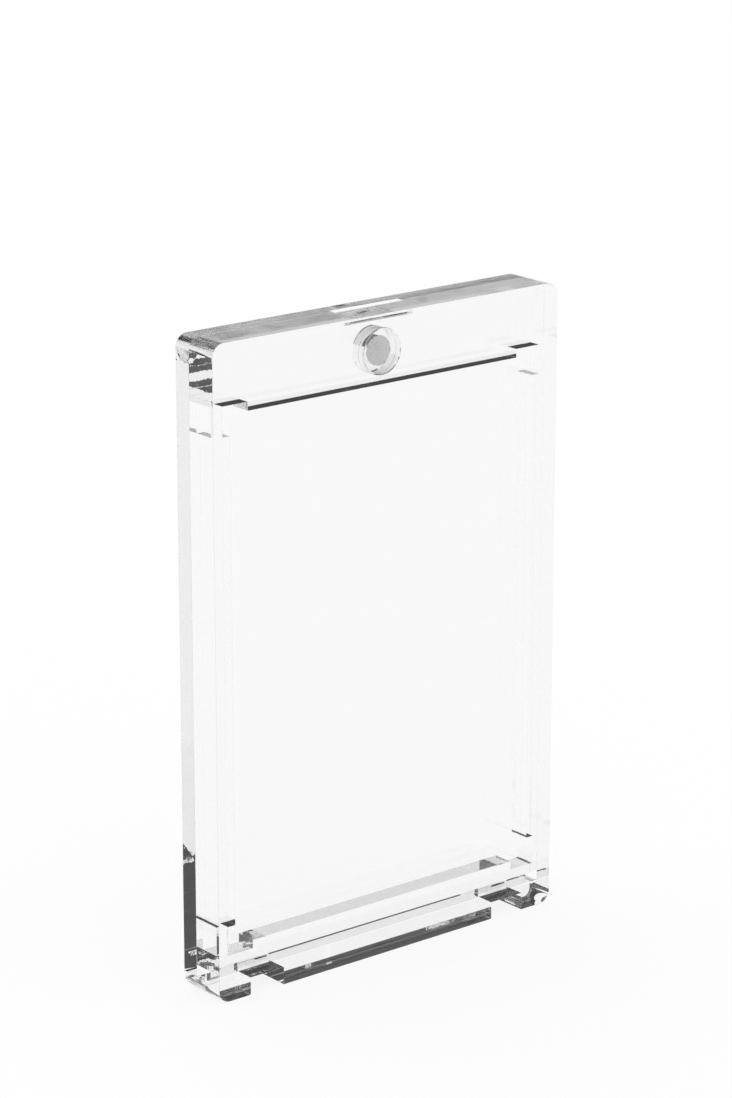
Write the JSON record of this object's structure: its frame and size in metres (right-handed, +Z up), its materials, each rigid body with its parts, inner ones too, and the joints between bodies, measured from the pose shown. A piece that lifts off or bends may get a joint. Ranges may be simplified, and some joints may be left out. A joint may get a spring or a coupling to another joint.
{
  "type": "trading card display case",
  "caption": "Clear card case: a front shell with a card well and foot ledge, and a back shell that tips back from the ledge on tabs and closes by magnet.",
  "frame": {"origin": "on the standing surface, in the middle of the case's width and thickness", "axes": "+Z up, along the case's height; the front window faces -Y; +X to the right seen from the front"},
  "size_m": [0.073, 0.0098, 0.112],
  "materials": {
    "clear_acrylic": "polished",
    "plug_acrylic": "polished",
    "steel": "satin",
    "nickel": "satin"
  },
  "bodies": {
    "front": {"front_shell": "clear_acrylic", "striker_plug": "plug_acrylic", "striker_disc": "steel"},
    "back": {"back_shell": "clear_acrylic", "magnet_plug": "plug_acrylic", "magnet": "nickel"}
  },
  "joints": [
    {"name": "back_tip", "type": "hinge", "parent": "front", "child": "back", "pos_m": [0, 0.00485, 0.0031], "axis": [-1, 0, 0], "range_deg": [0, 90]}
  ]
}
